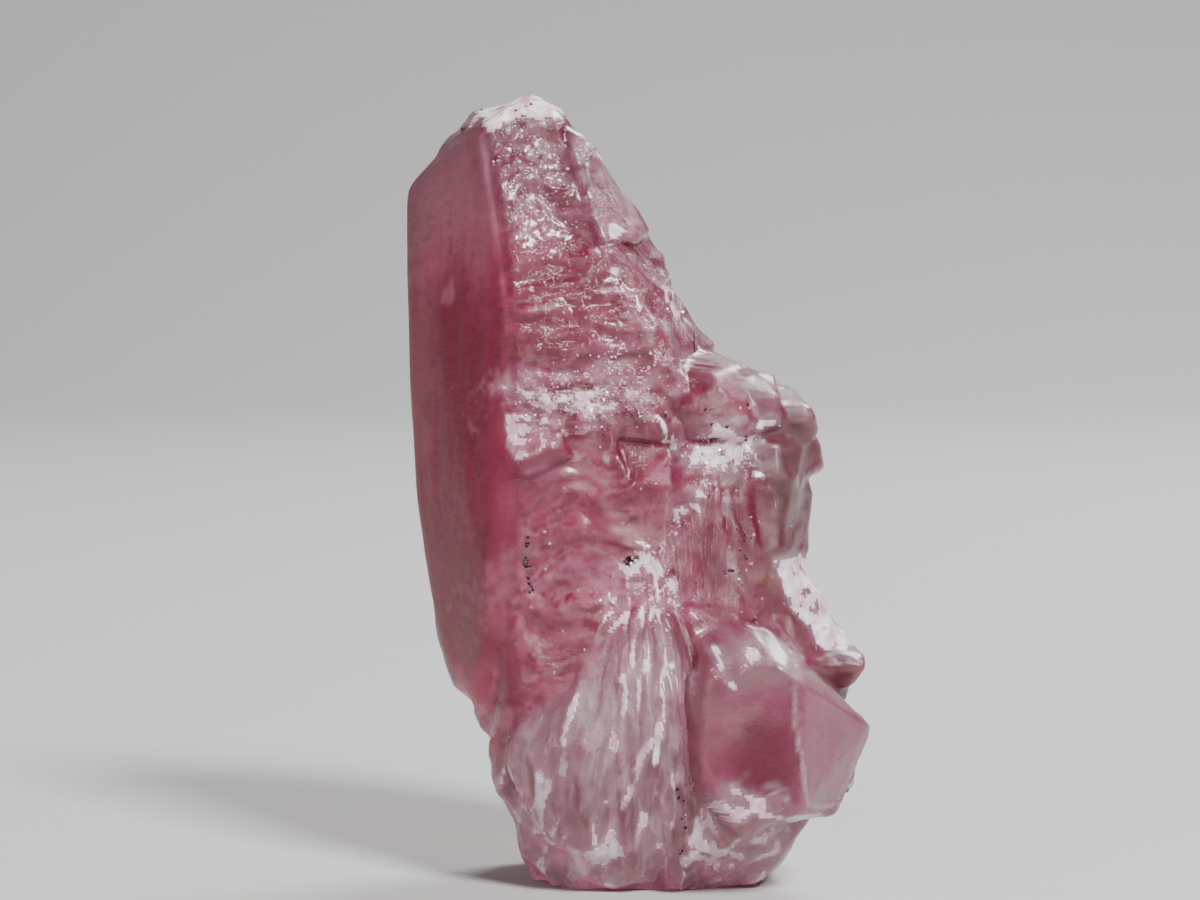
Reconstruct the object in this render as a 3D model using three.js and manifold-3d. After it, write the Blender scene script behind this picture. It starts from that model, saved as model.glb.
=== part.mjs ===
// A broken pezzottaite crystal: a raspberry prism standing on a pale, fibrous foot, with a stepped
// shoulder, a chalky wedge and a small clear crystal grown into its right side. It grew as one piece.
// Millimetres. +Z is up, X runs to the right and Y away from the viewer, who faces the broken front.
import * as THREE from 'three';
import { ConvexGeometry } from 'three/addons/geometries/ConvexGeometry.js';
import { mergeVertices } from 'three/addons/utils/BufferGeometryUtils.js';
import Module from 'manifold-3d';

const wasm = await Module();
wasm.setup();

// Driving dimensions
const TIP = 12.0; // height of the tip over the flat underside of the foot
const LEFT = -3.55; // the left edge of the prism
const RIGHT = 3.55; // the corner of the small clear crystal
const FRONT = -1.7; // the broken front of the prism, at its middle
const BACK = 2.25; // the back face of the prism

const PINK = 0xb4546a;

const ROUGH_FACET = 0.72; // the longest triangle side on the broken surfaces
const SMOOTH_FACET = 1.8; // the same on the smooth ones
const FINE_WELD = 1e-4; // corners closer than this are one corner
const COARSE_WELD = 1e-3; // the same, once everything is joined

// A manifold solid from a closed three.js geometry.
function solid(geometry, weld = FINE_WELD) {
  geometry.deleteAttribute('normal');
  geometry.deleteAttribute('uv');
  const merged = mergeVertices(geometry, weld);
  return new wasm.Manifold(
    new wasm.Mesh({
      numProp: 3,
      vertProperties: merged.attributes.position.array,
      triVerts: new Uint32Array(merged.index.array),
    }),
  );
}

// A manifold solid as a three.js geometry.
function geometryOf(body) {
  const { vertProperties, triVerts } = body.getMesh();
  const geometry = new THREE.BufferGeometry();
  geometry.setAttribute('position', new THREE.BufferAttribute(new Float32Array(vertProperties), 3));
  geometry.setIndex(new THREE.BufferAttribute(new Uint32Array(triVerts), 1));
  return geometry;
}

// A flat-faced block: the convex body of its corners, each [x, y, z].
function block(corners) {
  return solid(new ConvexGeometry(corners.map((corner) => new THREE.Vector3(...corner))));
}

function join(pieces) {
  return pieces.reduce((joined, piece) => joined.add(piece));
}

// The raspberry prism. Its left face runs from the front edge back to the left edge.
const frontEdge = [
  [-2.36, -0.95, 11.42],
  [-2.06, -1.4, 9.9],
  [-1.98, FRONT + 0.02, 8.6],
  [-1.98, FRONT, 6.8],
  [-2.06, FRONT, 5.7],
  [-2.25, FRONT + 0.1, 4.8],
  [-2.3, FRONT + 0.35, 3.85],
  [-2.38, -0.8, 2.75],
];
const leftEdge = [
  [LEFT, 0.7, 10.6],
  [LEFT, 0.85, 9.3],
  [LEFT + 0.03, 0.9, 7.4],
  [LEFT + 0.1, 0.85, 6.0],
  [LEFT + 0.22, 0.8, 5.1],
  [LEFT + 0.46, 0.5, 3.75],
  [LEFT + 0.78, 0.15, 2.95],
];
const topRidge = [
  [-2.4, 0.1, TIP - 0.28],
  [-1.55, -0.1, TIP],
  [-1.2, -0.35, TIP - 0.22],
];
const rightFlank = [
  [-1.24, -0.72, 11.62],
  [-0.5, -1.3, 9.8],
  [0.08, -1.52, 8.9],
  [0.85, FRONT + 0.05, 7.4],
  [0.16, -0.1, 9.88],
  [1.3, 0.25, 7.98],
];
// Two more prism faces close the back, 60 degrees apart like the left face and its neighbours.
const backCorners = [
  [-3.1, 1.5, 9.9],
  [-2.78, BACK - 0.1, 9.3],
  [-2.76, BACK, 6.4],
  [-2.55, BACK - 0.2, 3.9],
  [-2.1, BACK - 0.55, 2.6],
  [-1.9, 1.55, 10.55],
  [-0.75, BACK - 0.25, 9.5],
  [0.5, BACK, 7.9],
  [1.3, BACK - 0.05, 5.4],
  [1.0, BACK - 0.1, 2.6],
];
const innerEnd = [
  [1.0, -1.6, 4.8],
  [1.7, 0.9, 6.4],
  [1.6, 1.7, 5.0],
  [0.6, -1.4, 2.6],
  [1.4, 1.8, 2.4],
  [-1.6, 1.4, 2.4],
];
const prism = block([...frontEdge, ...leftEdge, ...topRidge, ...rightFlank, ...backCorners, ...innerEnd]);

// The thin pale slab that lies on the right flank, with its own corner beside the tip.
const slab = block([
  [-0.95, -0.95, 11.1],
  [-0.88, -0.75, 11.45],
  [-0.78, -0.7, 11.43],
  [-0.44, -0.55, 10.92],
  [0.18, -0.65, 9.95],
  [0.02, -1.15, 9.8],
  [-0.48, -1.42, 9.8],
  [-0.9, 0.3, 11.0],
  [0.05, 0.6, 9.8],
]);

// The stepped shoulder: the upper block overhangs the taller, clearer one under it.
const upperStep = block([
  [1.3, -0.3, 7.95],
  [1.68, -0.9, 8.02],
  [1.88, -0.8, 7.82],
  [2.12, -0.9, 7.42],
  [2.18, -1.1, 7.0],
  [1.75, -1.8, 6.88],
  [1.0, -1.95, 6.92],
  [0.72, -1.8, 7.4],
  [1.2, -1.6, 7.85],
  [1.5, 0.35, 7.85],
  [2.05, 0.25, 7.3],
  [1.5, 0.9, 7.1],
  [0.6, 0.8, 6.9],
]);
const lowerStep = block([
  [2.2, -0.6, 7.34],
  [2.48, -0.5, 7.33],
  [2.6, -0.5, 6.9],
  [2.64, -0.6, 6.45],
  [2.3, -1.25, 6.4],
  [1.7, -1.45, 6.9],
  [1.8, -1.5, 6.2],
  [0.7, 0.0, 7.3],
  [2.25, 0.55, 7.15],
  [2.4, 0.95, 6.2],
  [1.5, 1.6, 6.7],
  [0.8, 1.8, 6.0],
]);
const window = block([
  [2.6, -0.55, 6.35],
  [2.66, -0.55, 5.95],
  [2.56, -0.7, 5.0],
  [2.45, -0.8, 4.75],
  [2.3, -1.3, 6.3],
  [2.1, -1.5, 5.0],
  [1.55, -1.6, 6.3],
  [1.5, -1.75, 4.8],
  [2.42, 0.7, 6.15],
  [2.3, 1.35, 5.2],
  [1.5, 1.9, 5.6],
  [0.8, 2.0, 6.2],
  [0.8, 2.0, 4.2],
]);

// The fluted valley between the broken front and the shoulder.
const valley = block([
  [0.5, -1.5, 6.9],
  [0.8, -1.72, 6.75],
  [1.5, -1.6, 6.85],
  [1.85, -1.3, 6.6],
  [0.7, -1.78, 5.4],
  [1.6, -1.72, 5.2],
  [0.6, -1.85, 4.3],
  [1.5, -2.0, 4.0],
  [2.0, -1.6, 4.4],
  [1.0, -1.9, 3.4],
  [2.0, 0.5, 6.6],
  [2.0, 0.5, 3.6],
  [0.4, 0.5, 6.8],
  [0.4, 0.5, 3.6],
]);

// The chalky wedge under the shoulder: a white upper face over a reddish underside.
const wedge = block([
  [2.05, -1.55, 4.95],
  [2.5, -0.9, 4.92],
  [2.86, -0.75, 4.3],
  [3.32, -0.9, 3.48],
  [3.3, -1.05, 3.25],
  [3.2, -0.9, 2.85],
  [2.55, -1.7, 3.5],
  [2.4, -1.3, 2.4],
  [3.0, 0.5, 3.3],
  [2.5, 1.1, 4.6],
  [2.5, 1.45, 3.4],
  [2.5, 1.0, 2.2],
  [0.9, 2.0, 4.7],
  [0.9, 1.8, 2.2],
  [1.1, -1.6, 4.9],
  [1.0, -1.6, 2.4],
]);

// The small clear crystal at the lower right: its front is one flat face, with another flat face to the right.
const facing = (x, z) => [x, -2.62 + 0.12 * (1.7 - x) + 0.05 * (2.4 - z), z];
const smallCrystal = block([
  facing(1.02, 3.2),
  facing(1.5, 3.62),
  facing(2.1, 3.6),
  facing(2.49, 3.3),
  facing(2.38, 1.38),
  facing(1.5, 1.25),
  facing(0.98, 1.9),
  [0.75, -2.2, 3.0],
  [0.8, -2.2, 1.8],
  [1.05, -2.15, 3.85],
  [1.5, -2.0, 4.15],
  [1.95, -2.0, 4.1],
  [2.46, -2.1, 3.62],
  [RIGHT, -1.5, 2.53],
  [3.27, -1.6, 1.9],
  [3.03, -1.7, 1.25],
  [1.6, -2.2, 1.0],
  [2.9, 0.2, 2.5],
  [2.7, 0.2, 1.3],
  [0.6, 0.0, 3.8],
  [0.4, 0.0, 1.2],
]);

// The pale foot, cut off flat where it broke from the rock, and the lump under the small crystal.
const foot = block([
  [-0.95, -1.1, 0],
  [1.0, -1.15, 0],
  [1.0, -1.45, 0.2],
  [1.4, 0.9, 0],
  [0.9, 1.4, 0],
  [1.8, 1.5, 0.4],
  [-1.1, 1.45, 0],
  [-1.55, 0.5, 0],
  [-1.5, -0.7, 0.1],
  [-0.6, -1.9, 0.7],
  [-1.75, -1.1, 1.2],
  [-2.06, -0.9, 1.75],
  [-2.12, -0.8, 2.3],
  [-1.85, -1.75, 2.7],
  [-0.7, -2.25, 2.5],
  [0.5, -2.3, 2.0],
  [1.0, -2.0, 1.0],
  [-2.1, -1.45, 4.6],
  [-1.0, -1.6, 5.6],
  [0.9, -1.65, 5.2],
  [1.1, -2.1, 3.4],
  [-1.8, 1.5, 1.6],
  [2.0, 2.0, 1.6],
  [1.2, 2.1, 3.8],
]);
const footLump = block([
  [0.8, -2.15, 1.8],
  [0.75, -1.85, 0.6],
  [0.9, -1.15, 0],
  [1.5, -0.9, 0],
  [1.95, -1.2, 0.2],
  [2.3, -1.35, 0.45],
  [2.62, -1.3, 1.05],
  [2.7, -1.4, 1.6],
  [1.6, -2.15, 1.1],
  [1.5, 0.7, 0],
  [2.1, 1.2, 0.4],
  [2.6, 1.0, 1.2],
  [0.6, 1.0, 0.1],
  [0.6, 1.0, 1.8],
]);
const chin = block([
  [-2.52, -0.5, 2.8],
  [-2.38, -0.6, 2.38],
  [-2.1, -0.8, 2.2],
  [-1.6, -1.2, 2.1],
  [-1.6, -1.4, 3.0],
  [-2.3, 0.3, 2.5],
  [-1.6, 0.6, 2.1],
  [-1.6, 0.6, 3.0],
]);

const flatSided = join([
  prism,
  slab,
  upperStep,
  lowerStep,
  window,
  valley,
  wedge,
  smallCrystal,
  foot,
  footLump,
  chin,
]);

// A small random source, so that the broken surfaces are the same each time.
const source = { state: 7 };
function random() {
  source.state = (source.state * 16807) % 2147483647;
  return source.state / 2147483647;
}
const between = (low, high) => low + (high - low) * random();

// Smooth noise from -1 to 1: random values on a cubic grid, blended between the grid's corners.
const GRID = 32;
const gridValues = Array.from({ length: GRID ** 3 }, () => between(-1, 1));
function noise(x, y, z) {
  const cell = [x, y, z].map(Math.floor);
  const blend = [x, y, z].map((value, i) => THREE.MathUtils.smoothstep(value - cell[i], 0, 1));
  const corner = (i, j, k) => {
    const [a, b, c] = [cell[0] + i, cell[1] + j, cell[2] + k].map((value) => ((value % GRID) + GRID) % GRID);
    return gridValues[(a * GRID + b) * GRID + c];
  };
  const line = (j, k) => THREE.MathUtils.lerp(corner(0, j, k), corner(1, j, k), blend[0]);
  const sheet = (k) => THREE.MathUtils.lerp(line(0, k), line(1, k), blend[1]);
  return THREE.MathUtils.lerp(sheet(0), sheet(1), blend[2]);
}

// How rough the crystal is at a point: 1 where it is broken, little on the prism faces and the small crystal.
const { smoothstep } = THREE.MathUtils;
const FACE_ROUGHNESS = 0.15;
const leftNormal = new THREE.Vector3(-0.855, -0.519, 0);
const leftReach = leftNormal.dot(new THREE.Vector3(LEFT, 0.85, 0));
const smallMiddle = new THREE.Vector3(2.2, -2.0, 2.4);
function roughness(point) {
  const fromFaces = Math.min(
    smoothstep(leftReach - leftNormal.dot(point), 0.1, 0.6),
    smoothstep(BACK - point.y, 0.15, 0.6),
    smoothstep(smallMiddle.distanceTo(point), 1.3, 1.9),
  );
  return FACE_ROUGHNESS + (1 - FACE_ROUGHNESS) * fromFaces;
}

// Triangle sides that are too long for their place are halved, but not those of the flat underside. A side is
// judged by itself, so the two triangles that share it agree.
function divide(geometry) {
  const spots = geometry.toNonIndexed().attributes.position;
  const corner = (i) => new THREE.Vector3().fromBufferAttribute(spots, i);
  const waiting = Array.from({ length: spots.count / 3 }, (_, i) => [3 * i, 3 * i + 1, 3 * i + 2].map(corner));
  const done = [];
  while (waiting.length) {
    const [a, b, c] = waiting.pop();
    const sides = [
      [a, b, c],
      [b, c, a],
      [c, a, b],
    ].map(([from, to, other]) => {
      const middle = from.clone().add(to).multiplyScalar(0.5);
      const longest = THREE.MathUtils.lerp(SMOOTH_FACET, ROUGH_FACET, roughness(middle));
      const excess = middle.z < FINE_WELD ? 0 : from.distanceTo(to) / longest;
      return { from, to, other, middle, excess };
    });
    const worst = sides.reduce((most, one) => (one.excess > most.excess ? one : most));
    if (worst.excess > 1) {
      waiting.push([worst.from, worst.middle, worst.other], [worst.middle, worst.to, worst.other]);
    } else {
      done.push(a, b, c);
    }
  }
  return mergeVertices(new THREE.BufferGeometry().setFromPoints(done), FINE_WELD);
}

// The divided blocks are pushed about by the noise, mostly in depth. The flat underside
// and the tip stay where they are.
const SWAY = new THREE.Vector3(0.05, 0.11, 0.05);
const grain = divide(geometryOf(flatSided));
const spots = grain.attributes.position;
for (let i = 0; i < spots.count; i += 1) {
  const spot = new THREE.Vector3().fromBufferAttribute(spots, i);
  const strength = roughness(spot) * smoothstep(spot.z, 0, 0.5) * smoothstep(TIP - spot.z, 0, 0.3);
  const push = [0, 10, 20].map(
    (shift) =>
      noise(spot.x / 1.3 + shift, spot.y / 1.3, spot.z / 1.3) +
      0.7 * noise(spot.x / 0.5 + shift, spot.y / 0.5 + 5, spot.z / 0.5),
  );
  spot.addScaledVector(new THREE.Vector3(...push).multiply(SWAY), strength);
  spots.setXYZ(i, spot.x, spot.y, spot.z);
}
const blocks = solid(grain);

// A side of the crystal, seen along a compass turn: 0 is the front, 90 the right side and -60 the left face.
// at(h, z) is the hit on the joined blocks that shows there, h to the right and z up as that viewer sees it.
const VIEW_DISTANCE = 20;
function side(turn) {
  const angle = THREE.MathUtils.degToRad(turn);
  const across = new THREE.Vector3(Math.cos(angle), Math.sin(angle), 0);
  const out = new THREE.Vector3(Math.sin(angle), -Math.cos(angle), 0);
  const skin = new THREE.Mesh(geometryOf(blocks), new THREE.MeshBasicMaterial({ side: THREE.DoubleSide }));
  const at = (h, z) => {
    const start = across.clone().multiplyScalar(h).addScaledVector(out, VIEW_DISTANCE).setZ(z);
    return new THREE.Raycaster(start, out.clone().negate()).intersectObject(skin)[0];
  };
  return { across, out, at };
}
const front = side(0);
const leftFace = side(-60);
const back = side(180);
const rightSide = side(85);

// A low ridge along a path of [h, z] points on one side. Its crest stands proud of the surface by its height,
// and lean moves the crest across the ridge, so that one flank is steep, as on a ledge.
const ROOTED = 0.12;
const END_TAPER = 0.2;
function ridge(view, path, width, height, lean = 0) {
  const sections = path.map(([h, z], i) => {
    const [before, after] = [path[Math.max(i - 1, 0)], path[Math.min(i + 1, path.length - 1)]];
    const along = view.across
      .clone()
      .multiplyScalar(after[0] - before[0])
      .setZ(after[1] - before[1])
      .normalize();
    const sideways = new THREE.Vector3().crossVectors(view.out, along).normalize();
    const taper = i === 0 || i === path.length - 1 ? END_TAPER : 1;
    const ground = view.at(h, z).point;
    const crest = height * taper;
    const half = (width * taper) / 2;
    const rootHalf = (half * (crest + ROOTED)) / crest;
    return [
      ground.clone().addScaledVector(sideways, rootHalf).addScaledVector(view.out, -ROOTED),
      ground.clone().addScaledVector(sideways, -rootHalf).addScaledVector(view.out, -ROOTED),
      ground.clone().addScaledVector(sideways, lean * half).addScaledVector(view.out, crest),
    ];
  });
  return sections
    .slice(1)
    .map((section, i) => solid(new ConvexGeometry([...sections[i], ...section])));
}

// Fine growth ridges run along the length of a prism face: [h, top, bottom] for each.
function growthRidges(view, list) {
  return list.flatMap(([h, top, bottom], i) =>
    ridge(
      view,
      [
        [h, top],
        [h + 0.02, top - 0.35 * (top - bottom)],
        [h - 0.01, top - 0.7 * (top - bottom)],
        [h + 0.03, bottom],
      ],
      0.22,
      0.05,
      i % 2 ? 0.5 : -0.5,
    ),
  );
}
const striations = [
  ...growthRidges(leftFace, [
    [-2.2, 10.3, 6.6],
    [-1.9, 10.4, 5.4],
    [-1.58, 9.9, 4.6],
    [-1.25, 10.7, 4.4],
    [-0.95, 10.2, 4.9],
    [-0.62, 10.9, 4.3],
    [-0.3, 10.0, 4.7],
    [0.0, 9.6, 4.9],
  ]),
  ...growthRidges(back, [
    [-0.3, 7.4, 4.0],
    [0.3, 8.6, 4.4],
    [0.75, 9.0, 3.4],
    [1.4, 8.2, 3.8],
    [1.9, 9.2, 3.6],
    [2.3, 8.4, 4.6],
  ]),
];

// The broken front steps down in ripples, steep on the upper side: [from, to, height, sag] for each.
const ripples = [
  [-1.25, -0.5, 10.2, 0.08],
  [-1.3, -0.45, 9.55, 0.1],
  [-0.8, 0.1, 9.05, 0.12],
  [-1.85, -0.95, 8.72, 0.05],
  [-0.7, 0.45, 8.55, 0.14],
  [-1.5, -0.3, 8.2, 0.1],
  [-1.8, 0.1, 7.8, 0.12],
].flatMap(([from, to, height, sag], i) =>
  ridge(
    front,
    [
      [from, height],
      [from + 0.3 * (to - from), height - sag],
      [from + 0.75 * (to - from), height - sag * (i % 2 ? 0.2 : 0.8)],
      [to, height + sag * 0.6],
    ],
    0.24,
    i % 2 ? 0.06 : 0.08,
    0.7,
  ),
);

// The seam between the broken front and the valley, and the flutes beside it.
const seam = ridge(
  front,
  [
    [1.02, 6.45],
    [0.98, 6.0],
    [0.86, 5.6],
    [0.56, 5.15],
    [0.3, 4.75],
    [0.06, 4.3],
    [-0.04, 3.7],
  ],
  0.24,
  0.1,
);
const flutes = [
  [1.2, 6.6, 4.6],
  [1.42, 6.3, 4.9],
  [1.64, 6.5, 4.8],
].flatMap(([h, top, bottom]) =>
  ridge(
    front,
    [
      [h, top],
      [h - 0.08, (2 * top + bottom) / 3],
      [h + 0.04, (top + 2 * bottom) / 3],
      [h + 0.1, bottom],
    ],
    0.18,
    0.09,
    0.5,
  ),
);

// The foot is fibrous: long ridges fan down it, from under the seam to the broken end.
const FIBRES = 10;
const fibres = Array.from({ length: FIBRES }, (_, i) => {
  const across = i / (FIBRES - 1);
  const top = -1.8 + 2.5 * across;
  const start = 3.0 + 0.8 * across + between(-0.5, 0.3);
  const end = between(0.55, 1.1);
  return ridge(
    front,
    [
      [top, start],
      [top - 0.12 + 0.1 * across, start - 0.35 * (start - end)],
      [top * 0.96 - 0.08 + 0.1 * across, start - 0.7 * (start - end)],
      [top * 0.78 + 0.05, end],
    ],
    between(0.18, 0.26),
    between(0.05, 0.09),
    i % 2 ? 0.4 : -0.3,
  );
}).flat();

// Ledges break up the rough zones of one side, between two [h, z] corners. Each is a tilted plate, sunk at one
// end, whose other end stands out of the surface as a step that looks upward or downward.
const FACING = 0.8; // the least that a spot's face looks toward the viewer
function ledges(view, [fromH, fromZ], [toH, toZ], count, size, height) {
  return Array.from({ length: count }, () => {
    const hit = view.at(between(fromH, toH), between(fromZ, toZ));
    if (!hit || hit.face.normal.dot(view.out) < FACING) return [];
    const out = hit.face.normal;
    const level = new THREE.Vector3(0, 0, 1).cross(out).normalize();
    const upward = out.clone().cross(level);
    const sides = 5 + Math.floor(3 * random());
    const spin = between(0, 2 * Math.PI);
    const steepSide = Math.PI * (Math.floor(2 * random()) + 0.5) + between(-0.7, 0.7);
    const reach = size * between(0.5, 1);
    const corners = Array.from({ length: sides }, (_, i) => {
      const angle = spin + (2 * Math.PI * (i + between(0, 0.5))) / sides;
      const step = level
        .clone()
        .multiplyScalar(Math.cos(angle) * reach * 1.3)
        .addScaledVector(upward, Math.sin(angle) * reach * 0.7);
      const rise = height * (0.15 + 0.85 * Math.cos(angle - steepSide));
      return [
        hit.point.clone().add(step).addScaledVector(out, Math.min(rise, 0) - ROOTED),
        hit.point.clone().addScaledVector(step, 0.85).addScaledVector(out, rise),
      ];
    });
    return [solid(new ConvexGeometry(corners.flat()))];
  }).flat();
}
const fractures = [
  ...ledges(front, [-1.3, 8.0], [0.1, 10.3], 12, 0.3, 0.08),
  ...ledges(front, [-1.8, 6.9], [0.9, 7.6], 12, 0.4, 0.12),
  ...ledges(front, [-1.9, 4.0], [0.4, 6.1], 8, 0.5, 0.1),
  ...ledges(front, [0.8, 5.9], [1.8, 6.8], 4, 0.3, 0.1),
  ...ledges(rightSide, [-1.4, 0.8], [1.6, 4.6], 5, 0.9, 0.05),
  ...ledges(rightSide, [-0.8, 4.8], [1.5, 7.6], 5, 0.8, 0.05),
  ...ledges(back, [-2.2, 0.8], [1.8, 2.8], 6, 0.7, 0.15),
  ...ledges(back, [-2.0, 3.4], [-1.0, 7.6], 4, 0.6, 0.15),
];

// The flat pale facet beside the front edge.
const facet = block([
  [-2.0, FRONT - 0.1, 6.78],
  [-1.12, FRONT - 0.14, 6.98],
  [-0.98, FRONT - 0.1, 6.62],
  [-1.6, FRONT - 0.16, 6.36],
  [-2.0, FRONT - 0.06, 6.26],
  [-1.9, FRONT + 0.5, 6.9],
  [-1.0, FRONT + 0.5, 6.9],
  [-1.5, FRONT + 0.5, 6.2],
]);

// The hollow in the middle of the front, deepest under its upper rim, and the notch under the shoulder.
const hollow = block([
  [-0.45, FRONT - 0.6, 7.1],
  [0.75, FRONT - 0.6, 7.0],
  [0.7, FRONT - 0.6, 5.9],
  [-0.3, FRONT - 0.6, 5.8],
  [-0.25, FRONT + 0.16, 6.85],
  [0.62, FRONT + 0.2, 6.8],
  [0.55, FRONT + 0.02, 6.2],
  [-0.1, FRONT + 0.02, 6.3],
]);

const joined = join([blocks, ...striations, ...ripples, ...fractures, facet])
  .subtract(hollow)
  .add(join([...seam, ...flutes, ...fibres]));
// Where ridges meet, joining can close off specks of empty space: the largest shell is the crystal.
const shells = solid(geometryOf(joined), COARSE_WELD).decompose();
const whole = shells.reduce((largest, shell) => (shell.volume() > largest.volume() ? shell : largest));

// The specimen stands on its flat underside, over the middle of its own box.
const shape = geometryOf(whole);
shape.computeBoundingBox();
const middle = shape.boundingBox.getCenter(new THREE.Vector3());
shape.translate(-middle.x, -middle.y, -shape.boundingBox.min.z);

const crystal = new THREE.Mesh(
  shape,
  new THREE.MeshStandardMaterial({ color: PINK, roughness: 0.35, metalness: 0, flatShading: true }),
);
crystal.name = 'pezzottaite_crystal';

const specimen = new THREE.Group();
specimen.add(crystal);
export default specimen;
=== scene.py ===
import math

import bpy
import numpy as np
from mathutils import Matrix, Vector


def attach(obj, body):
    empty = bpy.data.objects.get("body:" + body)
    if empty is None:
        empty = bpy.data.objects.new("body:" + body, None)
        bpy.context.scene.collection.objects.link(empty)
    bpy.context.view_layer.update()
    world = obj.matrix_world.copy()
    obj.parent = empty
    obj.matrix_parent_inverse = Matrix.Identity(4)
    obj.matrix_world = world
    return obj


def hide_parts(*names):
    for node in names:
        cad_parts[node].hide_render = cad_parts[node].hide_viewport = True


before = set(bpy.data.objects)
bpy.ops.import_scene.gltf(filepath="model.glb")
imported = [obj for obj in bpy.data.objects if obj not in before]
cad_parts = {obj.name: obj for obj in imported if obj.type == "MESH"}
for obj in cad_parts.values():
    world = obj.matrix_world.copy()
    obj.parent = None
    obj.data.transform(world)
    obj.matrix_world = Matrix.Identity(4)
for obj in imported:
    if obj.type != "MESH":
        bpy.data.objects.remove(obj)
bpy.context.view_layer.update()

# The crystal's skin. The real one is a raspberry-pink prism of pezzottaite, broken at the front and the
# right, on a pale fibrous foot. One surface wraps the whole solid: u runs round it and v runs up it, and
# every point is the solid's own outline at that height, roughened with breaks, fibres and growth lines.
MM = 0.001  # in metres, the frame's unit
COLUMNS = 350
ROWS = 276
FRONT_CROWDING = 0.38  # how much closer the columns stand at the front than all round
TIP = 12.0
LOWEST_CUT = 0.004  # the first row's outline is read this far above the underside
TIP_GAP = 0.02  # and the last row's this far below the tip
SHIFT = np.array([-0.002, 0.2132, 0.0])  # the frame's origin is the middle of the box, not the prism's axis


def spine(height):
    """The middle of the section at each height, in mm: straight lines between a few given points."""
    at = [0.0, 1.0, 2.5, 4.0, 5.0, 7.0, 8.0, 9.0, 10.0, 11.0, 11.8, 12.0]
    x = [0.4, 0.35, 0.45, 0.2, -0.25, -0.4, -0.95, -1.35, -1.6, -1.8, -1.7, -1.57]
    y = [0.5, 0.15, -0.1, 0.15, 0.4, 0.4, 0.45, 0.5, 0.4, 0.1, 0.02, 0.11]
    return np.stack([np.interp(height, at, x), np.interp(height, at, y)], axis=-1)


def node_triangles(obj):
    """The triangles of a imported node, as an array (triangle, corner, xyz) in mm, each with its lowest
    corner first."""
    mesh = obj.data
    mesh.calc_loop_triangles()
    spots = np.empty(len(mesh.vertices) * 3)
    mesh.vertices.foreach_get("co", spots)
    index = np.empty(len(mesh.loop_triangles) * 3, dtype=np.int32)
    mesh.loop_triangles.foreach_get("vertices", index)
    corners = spots.reshape(-1, 3)[index.reshape(-1, 3)] / MM
    order = np.argsort(corners[:, :, 2], axis=1)
    return np.take_along_axis(corners, order[:, :, None], axis=1)


def reach(triangles, height, centre, way):
    """How far the outline at one height lies from its centre, for every direction in way. Each triangle
    that the height passes through leaves a straight cut, and a ray p = t * way meets the cut start + s *
    step where t = (start x step) / (way x step) and s = (start x way) / (way x step). The farthest
    meeting counts."""
    crossed = (triangles[:, 0, 2] < height) & (triangles[:, 2, 2] >= height)
    low, middle, high = triangles[crossed].transpose(1, 0, 2)
    above = (middle[:, 2] > height)[:, None]
    first = np.where(above, low, middle)
    second = np.where(above, middle, high)
    long_side = low + (high - low) * ((height - low[:, 2]) / (high[:, 2] - low[:, 2]))[:, None]
    rise = np.maximum(second[:, 2] - first[:, 2], 1e-9)
    short_side = first + (second - first) * ((height - first[:, 2]) / rise)[:, None]
    start = (long_side[:, :2] - centre)[:, :, None]
    step = (short_side - long_side)[:, :2, None]
    turn = way[0] * step[:, 1] - way[1] * step[:, 0]
    turn = np.where(np.abs(turn) < 1e-12, 1e-12, turn)
    t = (start[:, 0] * step[:, 1] - start[:, 1] * step[:, 0]) / turn
    s = (start[:, 0] * way[1] - start[:, 1] * way[0]) / turn
    return np.where((s >= 0) & (s <= 1) & (t > 0), t, 0).max(axis=0)


def solid_grid(triangles):
    """The solid as a grid of points (row, column, xyz): row v is a height, column u a direction round
    the spine. Counted from straight in front, the direction is u less a share of its sine, which crowds
    the columns at the front."""
    u = np.linspace(0, 2 * np.pi, COLUMNS, endpoint=False)
    angle = u - FRONT_CROWDING * np.sin(u) - np.pi / 2
    way = np.stack([np.cos(angle), np.sin(angle)])
    heights = np.linspace(LOWEST_CUT, TIP - TIP_GAP, ROWS)
    centres = spine(heights)
    reaches = np.stack([reach(triangles, z, c, way) for z, c in zip(heights, centres)])
    flat = centres[:, None, :] + reaches[:, :, None] * way.T[None]
    heights[0] = 0.0
    return np.concatenate([flat, np.broadcast_to(heights[:, None, None], reaches.shape + (1,))], axis=2)


def grid_normals(points):
    """Outward directions of a grid that closes on itself in u: the cross product of its two differences."""
    round_it = np.roll(points, -1, axis=1) - np.roll(points, 1, axis=1)
    up_it = np.gradient(points, axis=0)
    normal = np.cross(round_it, up_it)
    return normal / np.maximum(np.linalg.norm(normal, axis=2, keepdims=True), 1e-12)


def blurred(values, times):
    """Each value mixed with its four neighbours on the grid, a few times over."""
    for _ in range(times):
        padded = np.concatenate([values[:1], values, values[-1:]])
        up_down = padded[2:] + padded[:-2]
        values = (values * 2 + up_down + np.roll(values, 1, axis=1) + np.roll(values, -1, axis=1)) / 6
    return values


def scatter(cell, seed):
    """A fixed random number from 0 to 1 for each whole-numbered cell (..., xyz), from a mix of its
    coordinates."""
    mixed = (cell * np.array([73856093, 19349663, 83492791])).sum(axis=-1) + seed * 2654435761
    mixed = (mixed ^ (mixed >> 13)) * 1274126177 & 0xFFFFFFFF
    mixed = (mixed ^ (mixed >> 15)) * 2246822519 & 0xFFFFFFFF
    return (mixed ^ (mixed >> 16)) / 2**32


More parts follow.
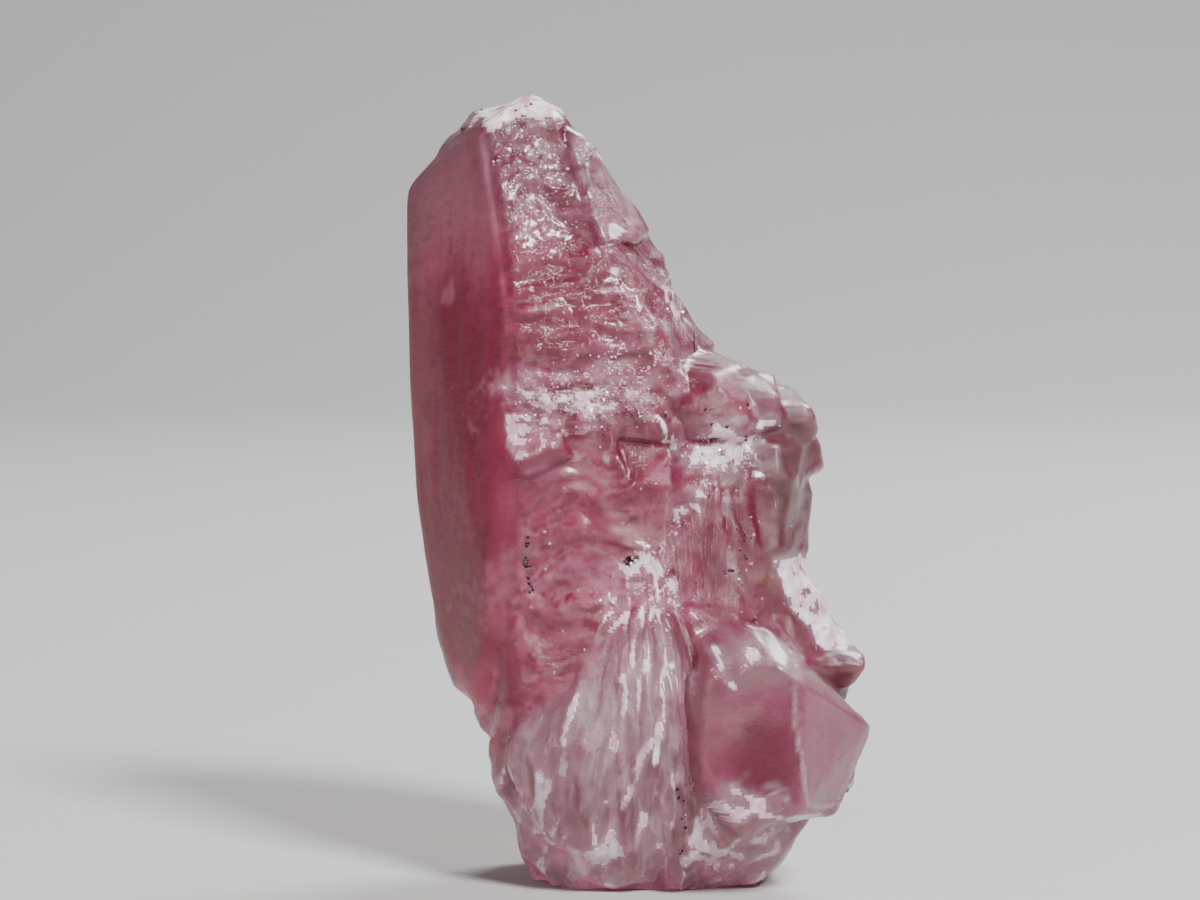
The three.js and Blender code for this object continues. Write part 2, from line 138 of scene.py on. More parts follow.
def cloud(points, size, seed):
    """Smooth noise from -1 to 1: random values on a cubic grid of the given size, blended between its
    corners."""
    place = points / np.asarray(size)
    cell = np.floor(place).astype(np.int64)
    blend = place - cell
    blend = blend * blend * (3 - 2 * blend)
    total = 0
    for corner in np.ndindex(2, 2, 2):
        share = np.where(np.array(corner), blend, 1 - blend).prod(axis=-1)
        total = total + share * scatter(cell + np.array(corner), seed)
    return 2 * total - 1


def chips(points, size, seed):
    """Broken chips: every point belongs to its nearest scattered centre, and each centre has a plane
    tilted its own way. The height is the tilt times the way from the centre, so neighbours meet in small
    steps. With it comes how far the point is from the chip's border: the second nearest centre's
    distance less the nearest one's."""
    place = points / np.asarray(size)
    cell = np.floor(place).astype(np.int64)
    nearest = np.full(points.shape[:-1], np.inf)
    second = np.full(points.shape[:-1], np.inf)
    height = np.zeros(points.shape[:-1])
    for offset in np.ndindex(3, 3, 3):
        owner = cell + np.array(offset) - 1
        centre = owner + np.stack([scatter(owner, seed + i) for i in range(3)], axis=-1)
        tilt = np.stack([scatter(owner, seed + 3 + i) for i in range(3)], axis=-1) * 2 - 1
        away = place - centre
        distance = np.linalg.norm(away, axis=-1)
        height = np.where(distance < nearest, (away * tilt).sum(axis=-1) + 0.4 * tilt[..., 0], height)
        second = np.minimum(second, np.maximum(nearest, distance))
        nearest = np.minimum(nearest, distance)
    return height, second - nearest


def scoops(points, size, seed):
    """Shell-shaped breaks: round each scattered centre lies a shallow bowl, 1.5 times the squared
    distance plus a tilt of its own, and the lowest bowl counts, so that neighbours meet in sharp ridges."""
    place = points / np.asarray(size)
    cell = np.floor(place).astype(np.int64)
    lowest = np.full(points.shape[:-1], np.inf)
    for offset in np.ndindex(3, 3, 3):
        owner = cell + np.array(offset) - 1
        centre = owner + np.stack([scatter(owner, seed + i) for i in range(3)], axis=-1)
        tilt = np.stack([scatter(owner, seed + 3 + i) for i in range(3)], axis=-1) * 2 - 1
        away = place - centre
        bowl = 1.5 * (away**2).sum(axis=-1) + 0.8 * (away * tilt).sum(axis=-1) + 0.3 * tilt[..., 0]
        lowest = np.minimum(lowest, bowl)
    return lowest


def folds(points, size, seed):
    """Curved folds from 0 to 1 with sharp crests: one less the size of a smooth noise."""
    return 1 - np.abs(cloud(points, size, seed))


def ramp(value, low, high):
    """0 below low, 1 above high, and a smooth rise between them."""
    part = np.clip((value - low) / (high - low), 0, 1)
    return part * part * (3 - 2 * part)


skin = solid_grid(node_triangles(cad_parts["pezzottaite_crystal"]))
outward = blurred(grid_normals(blurred(skin, 2)), 2)
outward /= np.linalg.norm(outward, axis=2, keepdims=True)

# As a viewer straight in front sees it from 62 mm away, a point lies at seen_x across and seen_z up, in mm.
VIEW_DISTANCE = 62.0
AIM = np.array([-0.529, 0.0, 6.592]) + SHIFT
ELEVATION = math.radians(4)


def seen(points):
    """Where each point appears: its way from the aim, turned level with the camera, then drawn in by the
    ratio of the viewing distance to its own depth."""
    sight = points - AIM
    away = sight[..., 1] * math.cos(ELEVATION) - sight[..., 2] * math.sin(ELEVATION)
    up = sight[..., 2] * math.cos(ELEVATION) + sight[..., 1] * math.sin(ELEVATION)
    nearness = VIEW_DISTANCE / (VIEW_DISTANCE + away)
    return AIM[0] + sight[..., 0] * nearness, AIM[2] + up * nearness


seen_x, seen_z = seen(skin)
front = ramp(-outward[..., 1], -0.25, 0.1)  # 1 where the skin faces the viewer

# The smooth parts: the left prism face, the one behind it, the back and the faces of the small crystal. The
# first two are planes, each so many degrees from looking straight left, at a distance from the frame's axis.
LEFT_LOOK = math.radians(-30)
LEFT_DISTANCE = 2.449
BACK_LEFT_LOOK = math.radians(29)
BACK_LEFT_DISTANCE = 3.58
SMALL_CRYSTAL_MIDDLE = SHIFT + [2.15, -2.05, 2.35]
left_gap = LEFT_DISTANCE + skin[..., 0] * math.cos(LEFT_LOOK) - skin[..., 1] * math.sin(LEFT_LOOK)
left_face = ramp(-left_gap, -0.24, -0.08) * ramp(skin[..., 2], 2.3, 3.0)
back_face = ramp(skin[..., 1], 1.9, 2.3) * ramp(skin[..., 2], 2.6, 3.2)
back_left_gap = BACK_LEFT_DISTANCE + skin[..., 0] * math.cos(BACK_LEFT_LOOK)
back_left_gap -= skin[..., 1] * math.sin(BACK_LEFT_LOOK)
back_left_face = ramp(-back_left_gap, -0.4, -0.15) * ramp(skin[..., 2], 2.6, 3.2)
back_left_face *= ramp(-skin[..., 2], -10.5, -9.8)
small_crystal = 1 - ramp(np.linalg.norm(skin - SMALL_CRYSTAL_MIDDLE, axis=2), 1.25, 1.55)
smooth = np.maximum(np.maximum(left_face, back_face), np.maximum(back_left_face, small_crystal))
FOOT_EDGE_X = [-3.5, -2.0, -1.0, 0.0, 0.6, 1.1, 1.7, 3.5]
FOOT_EDGE_Z = [1.8, 2.2, 3.2, 4.3, 4.4, 3.3, 2.6, 2.2]
FOOT_TOP_BEHIND = 2.8
foot_front = np.interp(skin[..., 0], FOOT_EDGE_X, FOOT_EDGE_Z)
foot_top = FOOT_TOP_BEHIND + (foot_front - FOOT_TOP_BEHIND) * ramp(-skin[..., 1], -0.6, 0.6)
foot = 1 - ramp(skin[..., 2] + 0.25 * cloud(skin, 0.5, 3), foot_top - 0.3, foot_top + 0.3)
foot = foot * (1 - small_crystal)
broken = (1 - smooth) * (1 - foot)
shoulder = ramp(skin[..., 0], 1.0, 1.6) * (1 - smooth)


def near(x, z, wide, tall):
    """1 at a place seen from the front, fading to 0 over its width and height."""
    return (1 - ramp(np.hypot((seen_x - x) / wide, (seen_z - z) / tall), 0.6, 1.3)) * front


HUB_X = 0.24
HUB_HEIGHT = 4.4


def fanned(points):
    """Coordinates in which the foot's fibres stand straight: they spread from a hub under the shoulder,
    so the way across is divided by the square root of the depth below the hub."""
    depth = np.maximum(HUB_HEIGHT - points[..., 2], 0)
    across = (points[..., 0] - HUB_X) / np.sqrt(depth + 0.25)
    return np.stack([across, points[..., 1], points[..., 2]], axis=-1)


# The solid's own edges are softened: fully on the left face, a little everywhere, and along three creases.
softened = blurred(skin, 14)
skin = skin + (softened - skin) * (0.95 * left_face * (1 - small_crystal))[..., None]
skin = skin + (blurred(skin, 3) - skin) * (0.6 * (1 - small_crystal))[..., None]
creases = np.maximum(near(1.6, 7.0, 1.1, 0.35), near(-0.6, 5.2, 1.0, 0.3))
creases = np.maximum(creases, near(0.0, 7.1, 0.9, 0.3))
skin = skin + (blurred(skin, 10) - skin) * (0.9 * creases * (1 - left_face))[..., None]

# Bent coordinates, in which noise runs in curves, and the zones with a texture of their own.
bend = np.stack([cloud(skin, 1.4, 41), cloud(skin, 1.4, 42), 0.6 * cloud(skin, 1.2, 45)], axis=-1)
fine_bend = np.stack([cloud(skin, 0.4, seed) for seed in (46, 47, 48)], axis=-1)
swirl = skin + 0.6 * bend + 0.12 * fine_bend
fan = fanned(skin + 0.25 * bend)
granular = near(-1.4, 10.7, 0.9, 1.2)
rippled = near(-0.9, 8.7, 1.2, 1.3)
flaky = near(-0.7, 7.3, 1.3, 0.35)

# The relief in mm: shell-shaped breaks, level ripples and flakes, the foot's folds and fibres, growth lines.
relief = broken * (0.12 * scoops(swirl, (1.1, 1.1, 0.9), 11) + 0.03 * scoops(swirl, (0.45, 0.45, 0.25), 23))
relief += broken * (0.005 + 0.015 * rippled) * cloud(swirl, (0.4, 0.4, 0.09), 25)
relief *= 1 - 0.5 * shoulder
relief *= 1 - 0.7 * near(-0.35, 10.6, 0.45, 1.0)
relief *= 1 - 0.8 * near(-1.5, 6.65, 0.5, 0.3)
relief += broken * granular * 0.02 * scoops(skin, 0.14, 27)
relief += rippled * 0.045 * scoops(swirl, (0.55, 0.55, 0.2), 31)
relief += flaky * 0.06 * chips(swirl, (0.35, 0.35, 0.14), 35)[0]
relief += foot * 0.26 * (folds(fan, (0.36, 0.6, 2.0), 43) - 0.6)
relief += foot * 0.035 * (folds(fan, (0.1, 0.2, 1.0), 44) - 0.6)
relief += foot * 0.04 * scoops(swirl, (0.5, 0.5, 0.6), 49)
relief += smooth * (0.012 * cloud(skin, (0.3, 0.3, 1.2), 53) + 0.004 * cloud(skin, (0.1, 0.1, 0.6), 54))
relief += small_crystal * 0.03 * scoops(swirl, (0.9, 0.9, 0.7), 55)
relief *= ramp(skin[..., 2], 0.0, 0.12)
skin = skin + relief[..., None] * outward
skin[..., 2] = np.clip(skin[..., 2], 0, TIP)
skin[0, :, 2] = 0.0

# How far each point stands above its surroundings, and where the finished skin appears.
crest = ((skin - blurred(skin, 6)) * outward).sum(axis=2)
seen_x, seen_z = seen(skin)


def closed_skin(points, base_rings=(0.8, 0.55, 0.3)):
    """The grid's vertices and faces, closed at the foot by rings that shrink to a flat pole, and at the
    tip by a pole on the spine."""
    foot_pole = np.append(spine(0.0), 0.0)
    rings = [foot_pole + (points[0] - foot_pole) * share for share in base_rings[::-1]]
    rows = np.concatenate([np.stack(rings), points])
    count = len(rows)
    tip_pole = np.append(spine(TIP), TIP)
    spots = np.concatenate([rows.reshape(-1, 3), [foot_pole, tip_pole]])
    row, column = np.meshgrid(np.arange(count - 1), np.arange(COLUMNS), indexing="ij")
    here = row * COLUMNS + column
    beside = row * COLUMNS + (column + 1) % COLUMNS
    quads = np.stack([here, beside, beside + COLUMNS, here + COLUMNS], axis=-1).reshape(-1, 4)
    edge = np.arange(COLUMNS)
    next_edge = (edge + 1) % COLUMNS
    last = (count - 1) * COLUMNS
    floor_fan = np.stack([np.full(COLUMNS, count * COLUMNS), next_edge, edge], axis=-1)
    tip_fan = np.stack([np.full(COLUMNS, count * COLUMNS + 1), last + edge, last + next_edge], axis=-1)
    return spots, quads, np.concatenate([floor_fan, tip_fan]), len(base_rings)


def mesh_object(name, spots, *faces):
    """A mesh object in metres from vertices in mm and arrays of faces."""
    mesh = bpy.data.meshes.new(name)
    mesh.from_pydata(spots * MM, [], [face for group in faces for face in group.tolist()])
    mesh.update()
    obj = bpy.data.objects.new(name, mesh)
    bpy.context.scene.collection.objects.link(obj)
    return obj


spots, quads, fans, ring_count = closed_skin(skin)
crystal = mesh_object("crystal_skin", spots, quads, fans)
crystal.data.shade_smooth()
crystal.data.set_sharp_from_angle(angle=math.radians(55))

# Its colours: raspberry where the prism is clear and thick, mauve and white where it is broken, lilac-grey
# in the foot. Each patch is a soft spot placed where the real crystal shows it, seen from the front, with
# its edge made uneven by noise. The other sides follow the same order from the foot to the tip.


def srgb(red, green, blue):
    """A colour given as it looks on a screen, 0 to 255, as linear light."""
    value = np.array([red, green, blue]) / 255
    return np.where(value <= 0.04045, value / 12.92, ((value + 0.055) / 1.055) ** 2.4)


RASPBERRY = srgb(160, 32, 88)
DEEP_RED = srgb(124, 6, 54)
ROSE = srgb(184, 70, 120)
SALMON = srgb(160, 64, 82)
MAUVE = srgb(156, 96, 114)
LILAC = srgb(184, 166, 170)
PALE_ROSE = srgb(212, 148, 168)
WHITE = srgb(240, 220, 226)
CHALK = srgb(232, 230, 238)
# Near-white for painted highlights and glints.
HIGHLIGHT_WHITE = srgb(250, 244, 240)
HAZE = srgb(196, 148, 164)
ORCHID = srgb(176, 104, 152)
SMOKE = srgb(122, 84, 92)
BEIGE = srgb(178, 138, 130)
RUST = srgb(140, 82, 52)
BROWN = srgb(82, 40, 34)
BLACK = srgb(18, 12, 15)

wobble = np.stack([cloud(skin, 0.45, 61), cloud(skin, 0.45, 62)]) * 0.16
wobble += np.stack([cloud(skin, 0.15, 63), cloud(skin, 0.15, 64)]) * 0.07
patch_x = seen_x + wobble[0]
patch_z = seen_z + wobble[1]
ragged = 0.3 * cloud(skin, 0.2, 65) + 0.25 * cloud(skin, 0.09, 66)


def spot(x, z, wide, tall, turn=0, softness=0.5):
    """A soft ellipse seen from the front: 1 inside, 0 beyond its rim, turned anticlockwise by degrees."""
    c, s = math.cos(math.radians(turn)), math.sin(math.radians(turn))
    across = ((patch_x - x) * c + (patch_z - z) * s) / wide
    along = (-(patch_x - x) * s + (patch_z - z) * c) / tall
    return (1 - ramp(np.hypot(across, along) + ragged, 1 - softness, 1 + softness)) * front


def paint(colour, where, strength=1.0):
    """Mixes a colour into the skin's colour where the mask says."""
    share = np.clip(where * strength, 0, 1)[..., None]
    tint[:] = tint * (1 - share) + colour * share


def dot(x, z, wide, tall, turn=0):
    """A small spot seen from the front, hardly ragged."""
    c, s = math.cos(math.radians(turn)), math.sin(math.radians(turn))
    sideways = seen_x + 0.4 * wobble[0] - x
    upward = seen_z + 0.4 * wobble[1] - z
    across = (sideways * c + upward * s) / wide
    along = (-sideways * s + upward * c) / tall
    return (1 - ramp(np.hypot(across, along), 0.7, 1.2)) * front


def facet(*corners):
    """How far inside a flat face of the given corners, clockwise as seen from the front, each point
    lies, in mm: the least of its distances to the face's edges, less than 0 outside."""
    inside = np.full(seen_x.shape, np.inf)
    for (x0, z0), (x1, z1) in zip(corners, corners[1:] + corners[:1]):
        sideways = (x1 - x0) * (seen_z + 0.3 * wobble[1] - z0)
        upward = (z1 - z0) * (seen_x + 0.3 * wobble[0] - x0)
        inside = np.minimum(inside, (upward - sideways) / math.hypot(x1 - x0, z1 - z0))
    return np.where(front > 0.3, inside, -1)


def flat(inside, edge=0.03):
    """The mask of a flat face."""
    return ramp(inside, -edge, edge)


def rim(inside, width=0.04):
    """The mask of a thin line along its edge."""
    return 1 - ramp(np.abs(inside), 0.4 * width, width)


# All round: rose clouds and breaks with their own tones, mauve on the right, and lilac-grey in the foot.
tint = np.broadcast_to(RASPBERRY, skin.shape).copy()
mottle = 0.5 + 0.5 * cloud(swirl, (0.9, 0.9, 1.3), 71)
fine_mottle = 0.5 + 0.5 * cloud(swirl, (0.2, 0.2, 0.16), 72)
veil = ramp(folds(swirl, (0.7, 0.7, 0.9), 73), 0.86, 0.98)
fibre = ramp(folds(fan, (0.12, 0.2, 1.6), 74), 0.75, 0.97)
paint(ROSE, mottle, 0.5)
shard, border = chips(swirl, (0.6, 0.6, 0.45), 77)
small_shard, small_border = chips(swirl, (0.3, 0.3, 0.2), 78)
paint(ROSE, broken * ramp(shard, 0.05, 0.5), 0.5)
paint(DEEP_RED, broken * ramp(-shard, 0.0, 0.45), 0.8)
# Painted glints: pale lines along the borders of some chips.
border_glints = (1 - ramp(border, 0.02, 0.1)) * ramp(cloud(swirl, 0.5, 79), 0.0, 0.5)
border_glints += (1 - ramp(small_border, 0.03, 0.14)) * ramp(cloud(swirl, 0.4, 80), 0.1, 0.5)
paint(PALE_ROSE, veil * np.maximum(broken, back_face), 0.18)
paint(DEEP_RED, np.maximum(back_face, back_left_face) * mottle, 0.5)
paint(MAUVE, broken * ramp(skin[..., 0], 0.6, 1.8), 0.75)
paint(LILAC, foot, 0.92)
paint(MAUVE, foot * ramp(cloud(fan, (0.35, 0.5, 0.9), 75), 0.05, 0.5), 0.6)
paint(SMOKE, foot * ramp(cloud(fan, (0.25, 0.4, 0.7), 76), 0.2, 0.6), 0.5)
paint(CHALK, foot * fibre, 0.35)

# The left prism face: a salmon strip along the edge, then a deep red band.
paint(DEEP_RED, left_face * ramp(-skin[..., 2], -9.5, -8.0), 0.4)
paint(SALMON, spot(-3.35, 8.5, 0.28, 3.2), 0.8)
paint(CHALK, dot(-2.75, 11.4, 0.55, 0.06, 39), 0.8)
paint(PALE_ROSE, spot(-2.95, 10.5, 0.9, 1.3, 10, 0.8), 1.0)
paint(DEEP_RED, spot(-2.75, 7.6, 0.36, 1.9), 0.9)
paint(DEEP_RED, spot(-2.85, 4.6, 0.6, 1.7, 8), 1.0)
paint(BROWN, spot(-2.65, 4.0, 0.12, 0.9, 12), 0.35)
paint(ROSE, spot(-2.4, 2.95, 0.3, 0.3, 30), 0.9)
paint(PALE_ROSE, spot(-2.6, 10.35, 0.07, 0.22), 0.8)
paint(PALE_ROSE, spot(-2.85, 8.95, 0.07, 0.22, -15), 0.7)
paint(PALE_ROSE, spot(-2.5, 7.0, 0.06, 0.15), 0.5)
paint(PALE_ROSE, spot(-2.25, 2.45, 0.3, 0.2), 0.8)

# The top: a near-white painted highlight on a strip of the end face and on the upward-facing top, and grainy
# mauve under it with a few yellowish grains.
top_strip_highlight = facet((-2.4, 11.8), (-1.45, 12.05), (-1.15, 11.9), (-1.25, 11.68), (-2.26, 11.45))
paint(HIGHLIGHT_WHITE, flat(top_strip_highlight), 1.0)
paint(HIGHLIGHT_WHITE, ramp(skin[..., 2], 11.6, 11.85) * ramp(outward[..., 2], 0.1, 0.5), 0.9)
paint(ROSE, spot(-1.4, 10.75, 0.75, 0.8), 0.9)
paint(MAUVE, spot(-1.5, 11.0, 0.6, 0.6), 0.7)
paint(LILAC, spot(-1.4, 10.75, 0.75, 0.8), 0.2)
paint(RASPBERRY, spot(-1.3, 10.5, 0.75, 0.9) * ramp(-small_shard, 0.0, 0.4), 0.5)
paint(PALE_ROSE, spot(-1.6, 11.2, 0.6, 0.4) * ramp(fine_mottle, 0.2, 0.7), 0.7)
paint(BEIGE, spot(-1.5, 11.1, 0.12, 0.4), 0.6)
paint(ROSE, spot(-1.05, 10.6, 0.35, 0.5), 0.5)

# The broken front: raspberry with painted glints on its level ripples, and a pale slab along the right
# flank.
paint(RASPBERRY, spot(-1.2, 8.85, 1.1, 0.95), 0.6)
paint(DEEP_RED, spot(-1.2, 8.85, 1.1, 0.95) * ramp(-small_shard, -0.4, 0.2), 0.8)
paint(RASPBERRY, spot(-1.0, 9.75, 0.45, 0.3), 0.6)
paint(DEEP_RED, spot(-1.35, 8.2, 0.6, 0.3), 0.7)
paint(ROSE, spot(-1.33, 9.5, 0.4, 0.13), 0.8)
# Painted glints: short near-white dashes on the level ripples.
paint(WHITE, dot(-1.42, 8.77, 0.27, 0.05, 4), 0.75)
paint(WHITE, dot(-0.37, 9.02, 0.3, 0.05, -8), 0.75)
paint(WHITE, dot(-0.28, 9.34, 0.14, 0.07, 10), 0.8)
paint(WHITE, dot(0.05, 8.62, 0.24, 0.05, -12), 0.75)
paint(WHITE, dot(-0.62, 9.65, 0.1, 0.05), 0.7)
paint(MAUVE, spot(0.0, 9.6, 0.3, 0.3), 0.8)
paint(MAUVE, spot(0.95, 8.3, 0.35, 0.9, 24), 0.85)
paint(WHITE, spot(0.6, 8.9, 0.25, 0.5, 28) * ramp(fine_mottle, 0.35, 0.6), 0.75)
slab = facet((-0.98, 11.5), (-0.7, 11.5), (0.25, 9.9), (0.05, 9.75), (-0.47, 9.82))
paint(PALE_ROSE, flat(slab), 0.8)
paint(WHITE, flat(slab) * ramp(fine_mottle, 0.3, 0.7) * ramp(seen_z, 10.3, 11.2), 0.7)
paint(CHALK, dot(-0.28, 9.95, 0.14, 0.1, 10), 0.85)
paint(CHALK, rim(slab), 0.4)
paint(BROWN, dot(-0.62, 10.3, 0.03, 0.8, 16), 0.6)

# The white flaky band with knots of white on its right, the pale facet, and the deep red hollow under it
# with painted glints.
paint(PALE_ROSE, spot(0.1, 7.9, 0.8, 0.5) * ramp(fine_mottle, 0.1, 0.6), 0.7)
paint(WHITE, spot(0.1, 7.9, 0.75, 0.45) * ramp(fine_mottle, 0.45, 0.8), 0.8)
paint(PALE_ROSE, spot(-1.0, 7.45, 1.0, 0.35, -6) * ramp(fine_mottle, 0.0, 0.5), 0.9)
paint(WHITE, spot(-1.0, 7.45, 1.0, 0.35, -6) * ramp(fine_mottle, 0.2, 0.55), 0.95)
paint(RASPBERRY, spot(-1.0, 7.62, 0.5, 0.08), 0.7)
pale_face = facet((-1.94, 7.09), (-1.05, 7.06), (-1.14, 6.75), (-1.76, 6.44), (-1.94, 6.63))
paint(PALE_ROSE, flat(pale_face), 1.0)
paint(WHITE, flat(pale_face) * ramp(-seen_x, 1.3, 1.9), 0.4)
paint(ROSE, flat(pale_face) * ramp(cloud(swirl, (0.5, 0.5, 0.3), 85), 0.1, 0.6), 0.5)
paint(CHALK, rim(pale_face), 0.5)
paint(WHITE, spot(-0.45, 6.85, 0.3, 0.4) * ramp(fine_mottle, 0.4, 0.6), 0.8)
paint(DEEP_RED, spot(-1.2, 6.35, 0.5, 0.3), 0.8)
pit = facet((-0.5, 7.1), (0.2, 7.15), (0.3, 6.6), (0.22, 6.1), (-0.25, 6.05), (-0.56, 6.5))
paint(RASPBERRY, spot(0.05, 6.6, 0.7, 0.6, 0, 0.3), 0.8)
paint(DEEP_RED, flat(pit, 0.06), 0.95)
# Painted glints in the hollow: pale upright streaks in its upper part.
comb_glints = ramp(folds(skin, (0.1, 0.1, 1.2), 86), 0.7, 0.95) * ramp(cloud(skin, (0.3, 0.3, 0.4), 89), -0.4, 0.3)
paint(PALE_ROSE, flat(pit) * ramp(seen_z, 6.4, 6.7) * comb_glints, 0.9)
paint(ROSE, flat(facet((0.25, 6.45), (0.6, 6.4), (0.4, 6.0), (0.1, 6.0))), 0.8)
# Painted glints: thin near-white streaks at the hollow.
paint(HIGHLIGHT_WHITE, dot(0.5, 6.78, 0.05, 0.3, 16), 1.0)
paint(HIGHLIGHT_WHITE, dot(0.63, 6.66, 0.05, 0.2, 16), 1.0)
paint(HIGHLIGHT_WHITE, dot(-0.45, 6.5, 0.05, 0.14, 25), 0.5)
paint(WHITE, spot(0.15, 7.0, 0.35, 0.14) * ramp(fine_mottle, 0.5, 0.7), 0.6)
paint(RASPBERRY, spot(-1.1, 5.8, 0.8, 0.5), 0.7)
paint(RASPBERRY, spot(-0.4, 5.9, 0.9, 0.35), 0.6)
paint(ROSE, spot(-0.5, 5.5, 0.7, 0.4), 0.35)
paint(DEEP_RED, spot(-0.9, 5.1, 0.5, 0.3), 0.5)
paint(PALE_ROSE, spot(-1.9, 4.2, 0.3, 0.8), 0.4)
paint(PALE_ROSE, spot(-1.4, 4.1, 1.0, 0.6) * ramp(fine_mottle, 0.2, 0.7), 0.7)
paint(RASPBERRY, spot(-1.6, 3.7, 0.45, 0.7), 0.6)
paint(BEIGE, spot(-0.05, 5.3, 0.45, 0.3), 0.65)
paint(ORCHID, spot(-1.62, 7.8, 0.25, 0.25), 0.8)
paint(ORCHID, spot(-1.4, 6.15, 0.15, 0.35, 10), 0.5)
paint(ORCHID, spot(-0.6, 4.5, 0.7, 0.5) * ramp(fine_mottle, 0.3, 0.8), 0.5)

# The shoulder: a brownish upper step, glassy lower ones with a red window, and dark fluted ribs beside
# them.
paint(ROSE, spot(1.35, 7.3, 0.7, 0.35), 0.8)
paint(BEIGE, spot(1.3, 7.1, 0.6, 0.25), 0.5)
step_edge = facet((1.39, 7.95), (1.69, 8.1), (2.05, 7.7), (2.15, 7.35), (1.8, 7.35), (1.42, 7.6))
paint(LILAC, flat(step_edge, 0.08), 0.7)
# A painted highlight on the fold under the upper step.
fold_highlight = facet((1.85, 6.93), (2.0, 7.13), (2.23, 7.16), (2.2, 6.98), (1.92, 6.86))
paint(HIGHLIGHT_WHITE, flat(fold_highlight), 0.95)
paint(CHALK, spot(1.2, 6.6, 0.55, 0.38, 10) * ramp(fine_mottle, 0.1, 0.4), 0.95)
paint(SMOKE, spot(2.4, 6.75, 0.4, 0.65), 0.75)
paint(LILAC, spot(2.45, 7.1, 0.2, 0.25), 0.5)
paint(WHITE, dot(2.0, 6.36, 0.2, 0.05), 0.8)
paint(SMOKE, spot(2.1, 5.7, 0.6, 0.8), 1.0)
paint(BROWN, spot(2.1, 5.7, 0.55, 0.75), 0.35)
red_window = facet((1.99, 6.3), (2.18, 5.8), (2.11, 5.05), (1.7, 4.95), (1.53, 5.2), (1.5, 5.83))
paint(DEEP_RED, flat(red_window, 0.06), 0.9)
paint(MAUVE, rim(red_window, 0.06), 0.6)
paint(BROWN, spot(2.4, 5.7, 0.25, 0.6), 0.35)
dark_wedge = facet((1.13, 6.04), (1.33, 5.86), (1.39, 5.34), (0.88, 5.34))
paint(DEEP_RED, spot(1.15, 5.6, 0.4, 0.6), 0.4)
paint(DEEP_RED, flat(dark_wedge), 0.95)
paint(WHITE, dot(1.43, 5.8, 0.06, 0.2), 0.8)
paint(BLACK, dot(1.53, 5.5, 0.03, 0.5), 0.6)
paint(PALE_ROSE, spot(0.8, 5.6, 0.3, 0.75, -25), 0.7)
paint(WHITE, spot(0.9, 5.95, 0.13, 0.35, -20) * ramp(fibre + fine_mottle, 0.2, 0.9), 0.9)
paint(WHITE, spot(0.65, 5.35, 0.14, 0.4, -30) * ramp(fibre + fine_mottle, 0.2, 0.9), 0.9)
paint(PALE_ROSE, spot(0.3, 4.5, 0.55, 0.8, -20), 0.8)
paint(WHITE, spot(0.3, 4.75, 0.4, 0.4, -30) * ramp(fine_mottle, 0.2, 0.8), 0.9)
paint(WHITE, spot(0.25, 4.1, 0.5, 0.7) * ramp(fibre + 0.5 * fine_mottle, 0.2, 0.9), 0.9)
paint(WHITE, spot(-0.15, 4.0, 0.45, 0.5) * ramp(fibre + 0.5 * fine_mottle, 0.2, 0.8), 0.6)
paint(ROSE, spot(0.98, 4.15, 0.22, 0.6), 0.9)
paint(MAUVE, spot(1.5, 4.6, 0.3, 0.5, 20), 0.8)
column = facet((0.75, 4.75), (1.2, 4.9), (1.25, 3.7), (0.85, 3.5))
paint(DEEP_RED, flat(column, 0.1) * ramp(-fine_mottle, -0.8, -0.3), 0.5)
paint(WHITE, dot(1.55, 4.75, 0.06, 0.4, 20), 0.7)
# Painted shade: a deep red line along the gap beside the chalk face.
paint(DEEP_RED, spot(2.2, 4.15, 0.55, 0.22, -45), 0.85)
chalk_face = facet((2.1, 4.95), (2.54, 5.0), (2.95, 4.3), (3.45, 3.4), (3.2, 3.3), (2.75, 3.65), (2.35, 4.3))
paint(CHALK, flat(chalk_face, 0.06), 1.0)
paint(MAUVE, flat(chalk_face) * ramp(cloud(swirl, (0.25, 0.25, 0.4), 87), 0.2, 0.7), 0.5)
paint(BROWN, spot(2.95, 3.0, 0.35, 0.25), 0.5)
paint(RUST, dot(2.06, 4.55, 0.1, 0.12), 0.9)
paint(BEIGE, dot(1.9, 4.65, 0.14, 0.1), 0.8)

# The small clear crystal: a deep red window low in its front, a milky veil, painted glints at its top left,
# and a pale right face.
paint(ROSE, spot(1.6, 3.0, 0.85, 1.1), 0.6)
paint(MAUVE, spot(1.05, 2.7, 0.2, 0.8), 0.8)
paint(LILAC, spot(1.7, 3.35, 0.75, 0.45), 0.85)
paint(WHITE, spot(1.9, 3.5, 0.5, 0.2) * ramp(fine_mottle, 0.4, 0.7), 0.5)
paint(WHITE, spot(1.4, 3.35, 0.4, 0.3) * ramp(fine_mottle, 0.2, 0.7), 0.7)
paint(PALE_ROSE, small_crystal * ramp(folds(swirl, (0.5, 0.5, 0.6), 81), 0.8, 0.97), 0.35)
paint(RASPBERRY, small_crystal * front * mottle, 0.4)
clear_window = facet((2.0, 2.3), (2.4, 2.4), (2.4, 1.6), (2.05, 1.27), (1.4, 1.5), (1.5, 1.9))
paint(DEEP_RED, spot(1.85, 1.9, 0.65, 0.6, 20, 0.4), 0.6)
paint(RASPBERRY, flat(clear_window, 0.06), 0.6)
paint(DEEP_RED, spot(1.95, 1.8, 0.45, 0.4, 20), 0.6)
paint(PALE_ROSE, spot(1.6, 2.5, 0.4, 0.22, 40, 0.8) * ramp(mottle, 0.2, 0.7), 0.8)
paint(MAUVE, spot(1.3, 2.9, 0.3, 0.6, 0, 0.8), 0.6)
